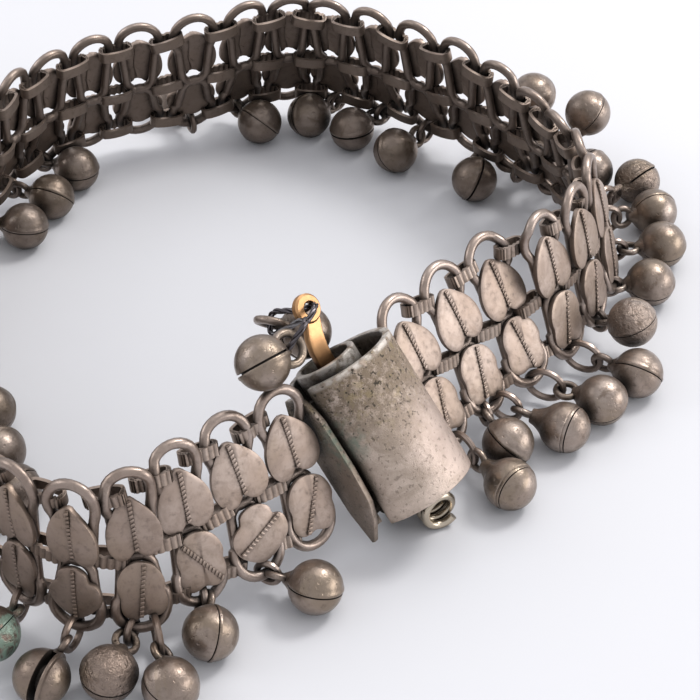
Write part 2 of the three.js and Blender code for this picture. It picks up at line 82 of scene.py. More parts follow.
# %% Spline and columns
def spline(points, t):
    """The point at a share t of the way along the curve."""
    last = len(points) - 1
    place = t * last
    index = min(int(place), last - 1)
    weight = place - index
    first = points[index - 1] if index > 0 else points[0] * 2 - points[1]
    after = points[index + 2] if index + 2 <= last else points[last] * 2 - points[last - 1]
    four = [first, points[index], points[index + 1], after]
    gaps = [(four[i + 1] - four[i]).length ** 0.5 for i in range(3)]
    p0, p1, p2, p3 = four
    start = ((p1 - p0) / gaps[0] - (p2 - p0) / (gaps[0] + gaps[1]) + (p2 - p1) / gaps[1]) * gaps[1]
    end = ((p2 - p1) / gaps[1] - (p3 - p1) / (gaps[1] + gaps[2]) + (p3 - p2) / gaps[2]) * gaps[1]
    bend = -3 * p1 + 3 * p2 - 2 * start - end
    twist = 2 * p1 - 2 * p2 + start + end
    return p1 + start * weight + bend * weight**2 + twist * weight**3


PLACES = [Vector((x, y, REST)) for x, y, _ in ROUTE]
LEANS = [Vector(row) for row in ROUTE]
STEPS = 2000
walk = [spline(PLACES, i / STEPS) for i in range(STEPS + 1)]
lengths = [0.0]
for before, after in zip(walk, walk[1:]):
    lengths.append(lengths[-1] + (after - before).length)
PITCH = lengths[-1] / (COLUMNS - 1)


def column(index):
    """A column's foot and its directions: side, up, face out of the leaf, and level outward."""
    target = index * PITCH
    low = next((i for i in range(STEPS) if lengths[i + 1] >= target - 1e-9), STEPS - 1)
    t = (low + (target - lengths[low]) / (lengths[low + 1] - lengths[low])) / STEPS
    near, far = spline(PLACES, max(t - 1e-4, 0)), spline(PLACES, min(t + 1e-4, 1))
    side = near - far
    side.z = 0
    side.normalize()
    outward = Vector((side.y, -side.x, 0))
    lean = math.radians(spline(LEANS, t).z)
    up = Vector((0, 0, math.cos(lean))) - outward * math.sin(lean)
    return {"origin": spline(PLACES, t) - MIDDLE, "side": side, "up": up,
            "face": side.cross(up), "outward": outward}


FRAMES = [column(i) for i in range(COLUMNS)]
print("pitch", round(PITCH, 3), "route", round(lengths[-1], 1))
LEAF_EDGE = 1.798  # past this distance from its middle, a column bends towards the next


def joins(index, other):
    """Whether two columns are neighbours in the same half of the band."""
    low = min(index, other)
    return low >= 0 and max(index, other) < COLUMNS and low != SPLIT - 1


def in_column(index, point):
    """A point given along, up and out of a column, on the table."""
    f = FRAMES[index]
    return f["origin"] + f["side"] * point[0] + f["up"] * point[1] + f["face"] * point[2]


def in_band(index, point):
    """A point of one column, turned towards the next column's where it lies past the leaf."""
    own = in_column(index, point)
    other = index - 1 if point[0] > 0 else index + 1
    if abs(point[0]) <= LEAF_EDGE or not joins(index, other):
        return own
    share = (abs(point[0]) - LEAF_EDGE) / (PITCH / 2 - LEAF_EDGE) / 2
    beside = in_column(other, (point[0] - math.copysign(PITCH, point[0]), point[1], point[2]))
    return own.lerp(beside, min(share, 1))


# %% [markdown]
# ## Materials
# A finish could be wired by hand in the shader editor or painted on an image. Written as a script
# it can be read line by line, and a procedural one needs no unwrapping. Shader sums are Python
# expressions over a small class that wraps a node's socket. Finishes read object coordinates in
# metres, so a stain stays where it's put.

# %% Sums of sockets
class Value:
    """A number in a material's graph."""

    def __init__(self, graph, socket):
        self.graph = graph
        self.socket = socket

    def _math(self, operation, *others, swap=False):
        terms = [self, *others]
        if swap:
            terms.reverse()
        return self.graph.node("ShaderNodeMath", {"operation": operation},
                               dict(enumerate(terms)))

    def __add__(self, other):
        return self._math("ADD", other)

    def __radd__(self, other):
        return self._math("ADD", other, swap=True)

    def __sub__(self, other):
        return self._math("SUBTRACT", other)

    def __rsub__(self, other):
        return self._math("SUBTRACT", other, swap=True)

    def __mul__(self, other):
        return self._math("MULTIPLY", other)

    def __rmul__(self, other):
        return self._math("MULTIPLY", other, swap=True)

    def clamped(self):
        return self.graph.node("ShaderNodeClamp", {}, {0: self})


# %% [markdown]
# A graph holds one material's nodes. Dirt and shade could be painted leaf by leaf, but masks find
# their places on every piece at once: what lies near a point, the hollows where dirt gathers and
# painted shade is laid, and what faces the ankle.

# %% Material graphs
class Graph:
    """A new material with a metal shader."""

    def __init__(self, name, metallic, roughness):
        self.material = bpy.data.materials.new(name)
        self.material.use_nodes = True
        self.tree = self.material.node_tree
        self.shader = self.tree.nodes["Principled BSDF"]
        self.shader.inputs["Metallic"].default_value = metallic
        self.shader.inputs["Roughness"].default_value = roughness
        coords = self.tree.nodes.new("ShaderNodeTexCoord")
        self.place = Value(self, coords.outputs["Object"])

    def node(self, kind, settings, inputs, output=0):
        """A node of any type: its settings first, then the values or links of its sockets."""
        made_node = self.tree.nodes.new(kind)
        for key, value in settings.items():
            setattr(made_node, key, value)
        for key, value in inputs.items():
            self.feed(made_node.inputs[key], value)
        return Value(self, made_node.outputs[output])

    def feed(self, socket, value):
        if isinstance(value, Value):
            self.tree.links.new(value.socket, socket)
        else:
            socket.default_value = value

    def noise(self, scale, detail=3.0, roughness=0.55, distortion=0.0):
        return self.node("ShaderNodeTexNoise", {}, {
            "Vector": self.place, "Scale": scale, "Detail": detail, "Roughness": roughness,
            "Distortion": distortion})

    def ramp(self, value, low, high):
        """0 below low, 1 above high and a soft step between."""
        return self.node("ShaderNodeMapRange", {"interpolation_type": "SMOOTHSTEP"}, {
            "Value": value, "From Min": low, "From Max": high, "To Min": 0.0, "To Max": 1.0})

    def mix(self, share, low, high):
        """A colour between two, by the share of the second."""
        return self.node("ShaderNodeMix", {"data_type": "RGBA"}, {
            0: share, 6: low, 7: high}, output=2)

    def near(self, point, inner, outer):
        """1 within inner millimetres of a point, fading to 0 at outer."""
        distance = self.node("ShaderNodeVectorMath", {"operation": "DISTANCE"}, {
            0: self.place, 1: tuple(c * MM for c in point)}, output="Value")
        return 1 - self.ramp(distance, inner * MM, outer * MM)

    def hollows(self, distance):
        """0 on open faces, to 1 deep in corners."""
        open_share = self.node("ShaderNodeAmbientOcclusion", {"samples": 6}, {
            "Distance": distance * MM}, output="AO")
        return 1 - open_share

    def inward(self):
        """1 on what faces the middle of the loop, 0 on what faces away."""
        normal = self.node("ShaderNodeNewGeometry", {}, {}, output="Normal")
        out = self.node("ShaderNodeVectorMath", {"operation": "NORMALIZE"}, {0: self.place},
                        output="Vector")
        facing = self.node("ShaderNodeVectorMath", {"operation": "DOT_PRODUCT"},
                           {0: normal, 1: out}, output="Value")
        return 1 - self.ramp(facing, -0.45, 0.15)

    def colour(self, value):
        self.feed(self.shader.inputs["Base Color"], value)

    def rough(self, value):
        self.feed(self.shader.inputs["Roughness"], value)

    def metallic(self, value):
        self.feed(self.shader.inputs["Metallic"], value)

    def bump(self, height, strength, distance):
        normal = self.node("ShaderNodeBump", {}, {
            "Strength": strength, "Distance": distance * MM, "Height": height}, output="Normal")
        self.feed(self.shader.inputs["Normal"], normal)


def rgb(*levels):
    """A colour with its opacity."""
    return (*levels, 1.0)


def dimmed(colour, *shares):
    """A darker tone of a colour, each channel by its own share."""
    return rgb(*(level * share for level, share in zip(colour, shares)))


# %% [markdown]
# ### Antique silver
# The raised metal is a light taupe and the hollows are nearly black; on the leaves that dark also
# paints the shadow line beside each rib. Broad patches vary the tone from link to link, fine noise
# breaks up the gloss, and the side that faces the ankle is dull with dirt. The bunch of bells at
# the front left and what lies near it are painted darker and browner than the rest, as painted
# shade, and one bell has gone green.
# The real parts are one metal worn in different ways, so one recipe makes the five silvers:
# patches, pits, dents and dirt set how worn each of them is, and on the leaves the dark in the
# hollows also carries painted shade.

# %% Silver finishes
GREEN_BELL = Vector((-25.24, -42.98, 4.59))
METALLIC = 0.82
VERDIGRIS = rgb(0.17, 0.31, 0.24)
BUMP_DEPTH = 0.09


def aged(name, light, dark, gloss, depth=1.2, grain=0.5, pits=0.0, soil=0.8, patches=0.0,
         relief=0.35, dents=0.6, dirt_and_shade=1.5):
    """An old silver from the colour of its raised metal and that of its hollows."""
    graph = Graph(name, METALLIC, gloss)
    broad = graph.noise(260.0, 2.0)
    fine = graph.noise(1500.0, 4.0, 0.65)
    tone = graph.ramp(broad, 0.3, 0.72)
    warm = graph.mix(tone, rgb(*light), dimmed(light, 0.84, 0.80, 0.76))
    mottle = graph.ramp(graph.noise(620.0, 5.0, 0.7, 0.6), 0.40, 0.66)
    warm = graph.mix(mottle * 0.45, warm, dimmed(light, 0.52, 0.49, 0.46))
    # Painted shade: everything near the bunch of bells at the front left is made darker and
    # browner.
    front_left_shade = graph.near(GREEN_BELL, 9.0, 26.0)
    warm = graph.mix(front_left_shade * 0.72, warm, dimmed(light, 0.50, 0.45, 0.41))
    if patches:
        olive = graph.ramp(graph.noise(150.0, 4.0, 0.6, 0.8), 0.47, 0.62) * patches
        warm = graph.mix(olive, warm, dimmed(light, 0.64, 0.60, 0.50))
        brown = graph.ramp(graph.noise(330.0, 6.0, 0.7, 0.5), 0.55, 0.66) * patches
        warm = graph.mix(brown, warm, dimmed(light, 0.42, 0.36, 0.30))
    inner = graph.inward() * soil
    worn = graph.mix(inner, warm, dimmed(light, 0.26, 0.24, 0.22))
    # The hollows go nearly black with tarnish; on the leaves this also paints the shadow line
    # beside each rib.
    soot_and_shade = (graph.hollows(depth) * dirt_and_shade + graph.ramp(fine, 0.50, 0.76) * 0.30).clamped()
    shade = graph.mix(soot_and_shade, worn, rgb(*dark))
    green = (graph.near(GREEN_BELL, 2.6, 4.8)
             * graph.ramp(graph.noise(560.0, 5.0, 0.7, 0.5), 0.44, 0.56))
    graph.colour(graph.mix(green.clamped() * 0.6, shade, VERDIGRIS))
    graph.rough((gloss + fine * 0.22 + soot_and_shade * 0.22 + inner * 0.12).clamped())
    graph.metallic((METALLIC - green * 0.6 - soot_and_shade * 0.2).clamped())
    speck = graph.ramp(graph.noise(2600.0, 2.0), 0.62, 0.75) * pits
    graph.bump(fine * grain + broad * dents - speck + green, relief, BUMP_DEPTH)
    print(name, "has", len(graph.tree.nodes), "nodes")
    return graph.material


WIRE_HOLLOW = (0.016, 0.012, 0.010)
BELL_HOLLOW = (0.014, 0.011, 0.009)
# The leaves' darkened hollows are partly painted shadow: the dark line beside each rib.
leaf_silver = aged("leaf_silver", (0.455, 0.368, 0.318), (0.026, 0.019, 0.015), gloss=0.36,
                   depth=0.6, patches=0.3, dirt_and_shade=1.15)
wire_silver = aged("wire_silver", (0.40, 0.326, 0.285), WIRE_HOLLOW, gloss=0.20)
ring_silver = aged("ring_silver", (0.44, 0.357, 0.305), WIRE_HOLLOW, gloss=0.28, depth=0.8)
bell_silver = aged("bell_silver", (0.36, 0.297, 0.258), BELL_HOLLOW, gloss=0.20, depth=1.8,
                   grain=1.0, pits=0.8, soil=0.6, patches=0.7, relief=0.6, dents=3.2)
pitted_silver = aged("pitted_silver", (0.38, 0.310, 0.268), BELL_HOLLOW, gloss=0.20, depth=1.8,
                     grain=4.2, pits=3.0, soil=0.6, patches=0.7, relief=0.9, dents=3.0)


# %% [markdown]
# ## Skins and walls
# Nearly every part of the anklet was sheet or wire before it was bent. A shape could be carved from
# a block with booleans, but they leave ragged faces. Here a grid operator makes a flat skin, a
# function lays its points over an outline or round an axis, and solidify gives it a wall. The
# wall's sharp rims are then bevelled, because worn metal has no knife edges and a soft rim catches
# the light.

# %% Skins and walls
SEAM = 1e-4  # points closer than this are merged


def grid(across, along, place):
    """A skin of the given number of cells; place gives each point from its two shares."""
    bm = bmesh.new()
    bmesh.ops.create_grid(bm, x_segments=across, y_segments=along, size=1)
    for v in bm.verts:
        v.co = place((v.co.x + 1) / 2, (v.co.y + 1) / 2)
    return bm


def thickened(bm, facing, thickness):
    """A skin turned so that its faces' sum of facing is positive, with a wall behind it."""
    bmesh.ops.recalc_face_normals(bm, faces=bm.faces)
    if sum(facing(f) for f in bm.faces) < 0:
        bmesh.ops.reverse_faces(bm, faces=bm.faces)
    bmesh.ops.solidify(bm, geom=bm.faces, thickness=thickness)
    bmesh.ops.recalc_face_normals(bm, faces=bm.faces)


def softened(bm, offset, segments, degrees=60):
    """Bevels the edges that are sharper than some degrees."""
    rim = [e for e in bm.edges if e.is_manifold and e.calc_face_angle(0) > math.radians(degrees)]
    bmesh.ops.bevel(bm, geom=rim, offset=offset, segments=segments, profile=0.5, affect="EDGES",
                    material=-1)


# %% [markdown]
# ## Leaves
# Each leaf is a plate about 6 mm across. Its outline could be a curve with handles, but a radius
# against an angle, drawn through a few points, is easier to correct against a photo, and a polar
# grid fills it evenly. The upper leaves are hearts with the tip up; the lower ones have a few lobes
# or a waist.

# %% Leaf outlines
PLATE = 0.62
DOME = 0.16
PLATE_CELLS = (56, 5)
HEART = [(95, 3.6), (80, 3.25), (58, 2.85), (28, 2.82), (-6, 3.1), (-29, 3.4), (-46, 3.4),
         (-64, 3.05), (-80, 2.4), (-90, 2.0), (-97, 2.35), (-108, 3.0), (-124, 3.4), (-146, 3.35),
         (-172, 3.1), (160, 2.95), (134, 3.05), (112, 3.35)]
LOBED = [(81, 2.95), (54, 2.75), (39, 2.34), (23, 2.95), (0, 3.15), (-18, 3.12), (-41, 2.75),
         (-68, 2.72), (-96, 2.9), (-125, 2.85), (-146, 3.0), (-166, 3.15), (173, 3.1), (157, 2.72),
         (143, 2.42), (126, 2.9), (108, 2.95)]
WAISTED = [(90, 3.1), (60, 3.0), (35, 2.8), (10, 2.65), (-8, 2.45), (-25, 2.8), (-45, 3.3),
           (-65, 3.3), (-85, 2.75), (-94, 2.7), (-104, 2.95), (-120, 3.3), (-140, 3.25),
           (-160, 2.75), (-173, 2.5), (168, 2.7), (145, 2.95), (115, 3.15)]


def radius_at(outline, degrees):
    """The outline's radius at an angle, smooth from one drawn point to the next."""
    rows = sorted(((angle % 360), radius) for angle, radius in outline)
    count = len(rows)
    angle = degrees % 360
    low = next((i for i in range(count - 1, -1, -1) if rows[i][0] <= angle), count - 1)
    (a0, r0), (a1, r1), (a2, r2), (a3, r3) = (rows[(low + k) % count] for k in range(-1, 3))
    span = (a2 - a1) % 360
    share = ((angle - a1) % 360) / span
    start = (r2 - r0) / ((a1 - a0) % 360 + span) * span
    end = (r3 - r1) / (span + (a3 - a2) % 360) * span
    return (r1 * (2 * share**3 - 3 * share**2 + 1) + start * (share**3 - 2 * share**2 + share)
            + r2 * (3 * share**2 - 2 * share**3) + end * (share**3 - share**2))


def plate(outline, step):
    """A leaf's plate about its middle: gently domed, its right half a step higher."""
    def place(u, v):
        degrees = u * 360 - 90
        reach = v ** 0.8 * radius_at(outline, degrees)
        x = math.cos(math.radians(degrees)) * reach * 0.97
        y = math.sin(math.radians(degrees)) * reach
        right = 0 < (degrees + 90) < 180
        return Vector((x, y, DOME * (1 - v**2) + (step if right else 0.0)))

    bm = grid(*PLATE_CELLS, place)
    bmesh.ops.remove_doubles(bm, verts=bm.verts, dist=SEAM * 10)
    thickened(bm, lambda f: f.normal.z, PLATE)
    softened(bm, 0.11, 2, degrees=55)
    return bm


# %% [markdown]
# Small parts are joined into the piece that they belong to. Join frees the part that it takes in,
# unless it's kept to be set again elsewhere, as the leaves' plates are. A matrix moves the part on
# its way, so that nothing is placed by hand.

# %% Cubes and joining
def cube():
    """A cube of size 1 about the origin."""
    bm = bmesh.new()
    bmesh.ops.create_cube(bm, size=1)
    return bm


def join(target, part, place=None, keep=False):
    """Adds one shape to another, moved by a matrix, and frees it unless it's kept."""
    mesh = bpy.data.meshes.new("part")
    part.to_mesh(mesh)
    if not keep:
        part.free()
    if place is not None:
        mesh.transform(place)
    target.from_mesh(mesh)
    bpy.data.meshes.remove(mesh)
    return target


# %% [markdown]
# A milled rib runs down each leaf: a low strip with slanting teeth. A bump texture would do from
# afar, but real teeth keep their glints from every side, so small bevelled cubes are set along a
# bar.

# %% Ribs
RIB_REACH = 0.93  # of the way from the leaf's middle to its edge
RIB_LIFT = 0.20
TOOTH = (0.50, 0.27, 0.34)
TOOTH_PITCH = 0.46
TOOTH_SLANT = 16


def rib(outline, degrees):
    """The rib through a leaf's middle, turned by some degrees from upright."""
    high = radius_at(outline, 90 + degrees) * RIB_REACH
    low = -radius_at(outline, -90 + degrees) * RIB_REACH
    turn = Matrix.Rotation(math.radians(degrees), 4, "Z")
    bar = turn @ Matrix.Translation((0, (low + high) / 2, RIB_LIFT - 0.06))
    bm = join(bmesh.new(), cube(), bar @ Matrix.Diagonal((0.40, high - low, 0.2, 1)))
    teeth = round((high - low) / TOOTH_PITCH)
    for i in range(teeth):
        y = low + (high - low) * (i + 0.5) / teeth
        tooth = cube()
        bmesh.ops.bevel(tooth, geom=tooth.edges, offset=0.28, segments=2, profile=0.5,
                        affect="EDGES", material=-1)
        slant = Matrix.Rotation(math.radians(TOOTH_SLANT), 4, "Z")
        join(bm, tooth, turn @ Matrix.Translation((0, y, RIB_LIFT)) @ slant
             @ Matrix.Diagonal((*TOOTH, 1)))
    return bm


PLATES = {"heart": plate(HEART, 0.14), "lobed": plate(LOBED, 0.0), "waisted": plate(WAISTED, 0.1)}
OUTLINES = {"heart": HEART, "lobed": LOBED, "waisted": WAISTED}
print("faces of a plate", len(PLATES["heart"].faces))

# %% [markdown]
# Hundreds of loose leaves and rings would be slow to handle and hard to name, so each half of the
# band is one object for each kind of part. A finished piece takes its scale, its smooth faces and
# its material, and hides the CAD nodes that it stands for.

# %% Pieces
def basis(x, y, z, origin):
    """The matrix that puts a shape's axes along three directions from an origin."""
    return Matrix(((x.x, y.x, z.x, origin.x), (x.y, y.y, z.y, origin.y),
                   (x.z, y.z, z.z, origin.z), (0, 0, 0, 1)))


def placed(name, data):
    """A new object at the origin, with its mesh, light or camera."""
    obj = bpy.data.objects.new(name, data)
    bpy.context.scene.collection.objects.link(obj)
    return obj


made = []


def piece(name, bm, material, body="anklet", replaced=(), sharp=38):
    """One finished object, smooth except over its sharp edges."""
    bmesh.ops.scale(bm, vec=(MM, MM, MM), verts=bm.verts)
    for face in bm.faces:
        face.smooth = True
    for edge in bm.edges:
        if len(edge.link_faces) == 2:
            edge.smooth = edge.calc_face_angle(0) < math.radians(sharp)
    mesh = bpy.data.meshes.new(name)
    bm.to_mesh(mesh)
    bm.free()
    obj = placed(name, mesh)
    mesh.materials.append(material)
    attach(obj, body)
    if replaced:
        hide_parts(*replaced)
    made.append(sum(len(p.vertices) - 2 for p in mesh.polygons))
    print(name, "has", made[-1], "triangles")


# %% [markdown]
# Every leaf is set a little askew, as on the worn chain. An array would set them all alike, so a
# seeded random turn is drawn for each. The hearts stand nearly upright; the ribs of the lower
# leaves on the left run at many angles, those on the right are nearly upright. The columns at the
# clasp's left have shifts, widths and rib angles of their own.

# %% Leaves on the band
random.seed(7)
UPPER_LEAF = 10.65
LOWER_LEAF = 4.3
LEAF_LIFT = 0.42
LEAF_SHIFTS = {0: 0.45, 1: 0.6, 2: 0.35}
LEAF_WIDTHS = {2: 0.95, 3: 0.88, 4: 0.86, 5: 0.86, 6: 0.88}
RIB_TURNS = {0: -22, 1: -62, 2: 37, 3: -14, 4: -4, 5: 12}
HEART_RIB_TURN = 4
LAST_LOBED = 30


def leaves(first, last):
    """The leaves of the columns from first up to last."""
    bm = bmesh.new()
    for index in range(first, last):
        f = FRAMES[index]
        at = basis(f["side"], f["up"], f["face"], f["origin"])
        upper = at @ Matrix.Translation((0, UPPER_LEAF, LEAF_LIFT))
        lower = at @ Matrix.Translation((LEAF_SHIFTS.get(index, 0.1), LOWER_LEAF, LEAF_LIFT))
        upper = upper @ Matrix.Rotation(math.radians(random.uniform(-5, 5)), 4, "Z")
        lower = lower @ Matrix.Rotation(math.radians(random.uniform(-6, 6)), 4, "Z")
        width = Matrix.Diagonal((LEAF_WIDTHS.get(index, 1), 1, 1, 1))
        upper, lower = upper @ width, lower @ width
        turn = RIB_TURNS.get(index, random.uniform(-18, 18))
        kind = "waisted" if index > LAST_LOBED or random.random() < 0.3 else "lobed"
        for seat, name, slope in ((upper, "heart", HEART_RIB_TURN), (lower, kind, turn)):
            join(bm, PLATES[name], seat, keep=True)
            join(bm, rib(OUTLINES[name], slope), seat)
    return bm


for side, half in HALVES.items():
    piece(f"leaves_{side}", leaves(*half), leaf_silver, replaced=[f"band_{side}"])

# %% [markdown]
# ## Wires
# Rings and loops are drawn wire. A curve object with a round bevel would make them too, but it has
# to become a mesh before it can be joined. Here a frame is carried along the path without twist,
# and a round section is set at each point.

# %% Wires
def closed(bm):
    """A skin with its seam merged, its open ends filled and its faces outward."""
    bmesh.ops.remove_doubles(bm, verts=bm.verts, dist=SEAM)
    rims = [e for e in bm.edges if len(e.link_faces) == 1]
    if rims:
        bmesh.ops.holes_fill(bm, edges=rims)
    bmesh.ops.recalc_face_normals(bm, faces=bm.faces)
    return bm


def carried(points, ring):
    """A frame at each point, carried along without twist."""
    count = len(points)
    tangents = []
    for i in range(count):
        back = points[(i - 1) % count] if ring else points[max(i - 1, 0)]
        front = points[(i + 1) % count] if ring else points[min(i + 1, count - 1)]
        tangents.append((front - back).normalized())
    across = tangents[0].orthogonal().normalized()
    frames = []
    for point, tangent in zip(points, tangents):
        across = (across - tangent * across.dot(tangent)).normalized()
        frames.append((point, across, tangent.cross(across)))
    return frames + frames[:1] if ring else frames


def wire(points, radius, sides=10, ring=False):
    """A round wire through points, closed on itself if it is a ring."""
    frames = carried([Vector(p) for p in points], ring)
    last = len(frames) - 1

    def place(u, v):
        point, across, beside = frames[round(v * last)]
        turn = u * 2 * math.pi
        return point + (across * math.cos(turn) + beside * math.sin(turn)) * radius

    return closed(grid(sides, last, place))


# %% [markdown]
# ### Oval wire rings
# Behind each leaf lies an oval ring of round wire, soldered to it. Half of it stands past the leaf
# as the hoop at the band's edge; from inside the loop both rings are seen whole. A torus scaled to
# an oval would have a wire that is thin on two sides, so a wire is laid along each ring's closed
# way, bent with the band.

# %% Oval rings
RISE = 16.7
WIRE = 0.52
HOOP = 2.5
TAIL = 1.55
WAIST = 1.95
HOOP_STEPS = 18
TAIL_STEPS = 12
OVALS = {1: (RISE - 0.1, 7.4), -1: (0.1, 7.6)}


def oval_ring(index, direction):
    """A column's ring: a round hoop at the band's edge, drawn in to a narrower end behind."""
    edge, inner = OVALS[direction]
    hoop_level = edge - direction * HOOP
    tail_level = inner + direction * TAIL
    waist_level = (hoop_level * 2 + tail_level) / 3
    way = []
    for i in range(HOOP_STEPS + 1):
        turn = math.radians(-20 + 220 * i / HOOP_STEPS)
        way.append((math.cos(turn) * HOOP, hoop_level + direction * math.sin(turn) * HOOP))
    way.append((-WAIST, waist_level))
    for i in range(TAIL_STEPS + 1):
        turn = math.pi * i / TAIL_STEPS
        way.append((-math.cos(turn) * TAIL, tail_level - direction * math.sin(turn) * TAIL))
    way.append((WAIST, waist_level))
    points = []
    for x, y in way:
        depth = min(max(abs(y - edge) / 5.0 - 0.3, 0), 1)
        points.append(in_band(index, (x, y, -0.05 - 0.62 * depth)))
    return wire(points, WIRE, 10, ring=True)


def oval_rings(first, last):
    """The oval rings of the columns from first up to last."""
    bm = bmesh.new()
    for index in range(first, last):
        for direction in (1, -1):
            join(bm, oval_ring(index, direction))
    return bm


for side, half in HALVES.items():
    piece(f"oval_rings_{side}", oval_rings(*half), wire_silver)

# %% [markdown]
# ## Flat milled rings
# Small oblong rings of flat strip join the columns at three levels, and their outer face is milled
# with fine upright grooves. The grooves could be a bump, but they also notch the ring's rim, so
# every third row of points is sunk. One ring is made as a skin with a wall, and copies of it are
# set across every joint, each a little askew.

# %% Flat rings
RING_LEVELS = (14.15, 7.5, 1.95)
RING_LENGTH = 4.1
RING_DEPTH = 2.0
RING_HEIGHT = 1.25
RING_SEAT = -0.62
STRIP = 0.34
GROOVE = 0.15
RING_CELLS = (72, 4)


def flat_ring():
    """A ring about Y: its long side along X, its milled face at +Z."""
    def place(u, v):
        turn = u * 2 * math.pi
        straight = RING_LENGTH / 2 - RING_DEPTH / 2
        x, z = math.cos(turn) * RING_DEPTH / 2, math.sin(turn) * RING_DEPTH / 2
        spread = math.copysign(straight, x) * min(1, abs(math.cos(turn)) * 1.6)
        groove = GROOVE if z > 0.3 and round(u * RING_CELLS[0]) % 3 == 0 else 0.0
        return Vector((x + spread, (v - 0.5) * RING_HEIGHT, z - groove))

    bm = grid(*RING_CELLS, place)
    bmesh.ops.remove_doubles(bm, verts=bm.verts, dist=SEAM)
    thickened(bm, lambda f: f.normal.dot(f.calc_center_median()), STRIP)
    return bm


FLAT = flat_ring()
print("faces of a flat ring", len(FLAT.faces))


def flat_rings(first, last):
    """The rings at the joints that follow the columns from first up to last."""
    bm = bmesh.new()
    for index in range(first, min(last, COLUMNS - 1)):
        for level in RING_LEVELS:
            turn = (Matrix.Translation((0, 0, RING_SEAT))
                    @ Matrix.Rotation(math.radians(random.uniform(-12, 12)), 4, "Z")
                    @ Matrix.Rotation(math.radians(random.uniform(-4, 14)), 4, "X"))
            a, b = FRAMES[index], FRAMES[index + 1]
            seat = a["origin"].lerp(b["origin"], 0.5)
            side = (a["side"] + b["side"]).normalized()
            up = (a["up"] + b["up"]).normalized()
            face = side.cross(up).normalized()
            up = face.cross(side)
            at = basis(side, up, face, seat + up * level)
            join(bm, FLAT, at @ turn, keep=True)
    return bm


for side, half in HALVES.items():
    piece(f"flat_rings_{side}", flat_rings(*half), ring_silver, sharp=50)

# %% [markdown]
# ## Bells
# A bell is made of two kinds of shape: a wire hoop for its loop, and bodies turned round an axis
# for its cups and neck. A spin operator would turn them too; the grid does the same with the
# helpers that are already here.

# %% Hoops and turned bodies
def hoop(centre, along, across, radii, radius, steps=28, sides=10):
    """A round or oval wire ring in the plane of two directions."""
    points = []
    for i in range(steps):
        turn = 2 * math.pi * i / steps
        points.append(centre + along * math.cos(turn) * radii[0]
                      + across * math.sin(turn) * radii[1])
    return wire(points, radius, sides, ring=True)


def lathe(profile, sides):
    """A body turned about Y from half sections (radius, height)."""
    last = len(profile) - 1

    def place(u, v):
        radius, height = profile[round(v * last)]
        turn = u * 2 * math.pi
        return Vector((math.cos(turn) * radius, height, math.sin(turn) * radius))

    return closed(grid(sides, last, place))


# %% [markdown]
# A round bell is two pressed cups with a slit between them. The slit starts beside the loop and
# runs round the bell, and one cup's lip stands a little over the other. The cups could be two half
# spheres, but turning a single half section draws the slit, its lips and the dark hollow behind
# them in one line. A pear bell has a long neck, and its slit lies round its foot.

# %% Bell shapes
BALL = 2.66
LOOP = 1.05
LOOP_WIRE = 0.36
PEAR_TOP = 3.75
WIDE_GAP = 0.3  # a slit wider than this is deep and black
NECK = [(1.45, BALL - 0.62), (1.16, BALL - 0.3), (0.86, BALL + 0.05), (0.62, BALL + 0.4),
        (0.5, BALL + 0.62), (0, BALL + 0.68)]
PEAR_NECK = [(1.42, 2.35), (1.15, 2.75), (0.92, 3.2), (0.78, 3.7), (0.0, 3.9)]


def arc_section(radius, low, high, steps):
    """Half section of a ball between two latitudes in degrees."""
    rows = []
    for i in range(steps + 1):
        turn = math.radians(low + (high - low) * i / steps)
        rows.append((math.cos(turn) * radius, math.sin(turn) * radius))
    return rows


def slit_section(height, gap, lip):
    """The step inwards under one lip and out again to the other, proud by the lip."""
    foot = (BALL**2 - height**2) ** 0.5
    floor = foot * (0.84 if gap < WIDE_GAP else 0.45)
    return [(foot - 0.10, height + 0.02), (floor, height + 0.04), (floor, height + gap),
            (foot + lip - 0.06, height + gap + 0.02), (foot + lip, height + gap + 0.12),
            (foot + lip * 0.7, height + gap + 0.34)]


def round_cups(gap):
    """Both cups, turned about X, with the slit in the YZ plane."""
    low = arc_section(BALL, -90, -2, 12)
    slit = slit_section(low[-1][1], gap, 0.07)
    start = math.degrees(math.asin((slit[-1][1] + 0.1) / BALL))
    high = arc_section(BALL * 1.005, start, 90, 12)
    return join(bmesh.new(), lathe(low + slit + high, 36),
                Matrix.Rotation(math.radians(-90), 4, "Z"))


def pear_cup(gap):
    """A pear turned about Y, with its slit below the middle."""
    low = arc_section(BALL, -90, -22, 10)
    slit = slit_section(low[-1][1], gap, 0.05)
    start = math.degrees(math.asin((slit[-1][1] + 0.1) / BALL))
    return lathe(low + slit + arc_section(BALL, start, 52, 10) + PEAR_NECK, 36)


def bell(centre, to_wire, normal, gap, pear=False, loop=LOOP, loop_wire=LOOP_WIRE, reach=None):
    """A bell with its loop; the slit lies across the normal. Returns it and the loop's middle."""
    y = to_wire.normalized()
    x = (normal - y * normal.dot(y)).normalized()
    z = x.cross(y)
    body = pear_cup(gap) if pear else round_cups(gap)
    top = PEAR_TOP if pear else BALL + 0.34
    if not pear:
        join(body, lathe(NECK, 20))
    across = Vector((0.35, 0, 0.94)) if reach is None else Vector((1, 0, 0))
    reach = reach or top + loop * 0.88
    join(body, hoop(Vector((0, reach, 0)), across, Vector((0, 1, 0)), (loop, loop), loop_wire))
    return join(bmesh.new(), body, basis(x, y, z, centre)), centre + y * reach


# %% [markdown]
# Each bell lies where the photo shows it, or at a like spacing where it shows none, on a ring or
# two of wire from its column's lower edge. A simulation could drop them, but they would come to
# rest elsewhere. A bell's row gives its column, its place along the band and out from it in bell
# widths, how high it lies, and the part of the lower wire that it hooks on. The slits of the first
# five are turned as in the photo and the others at random. Three bells are badly pitted.

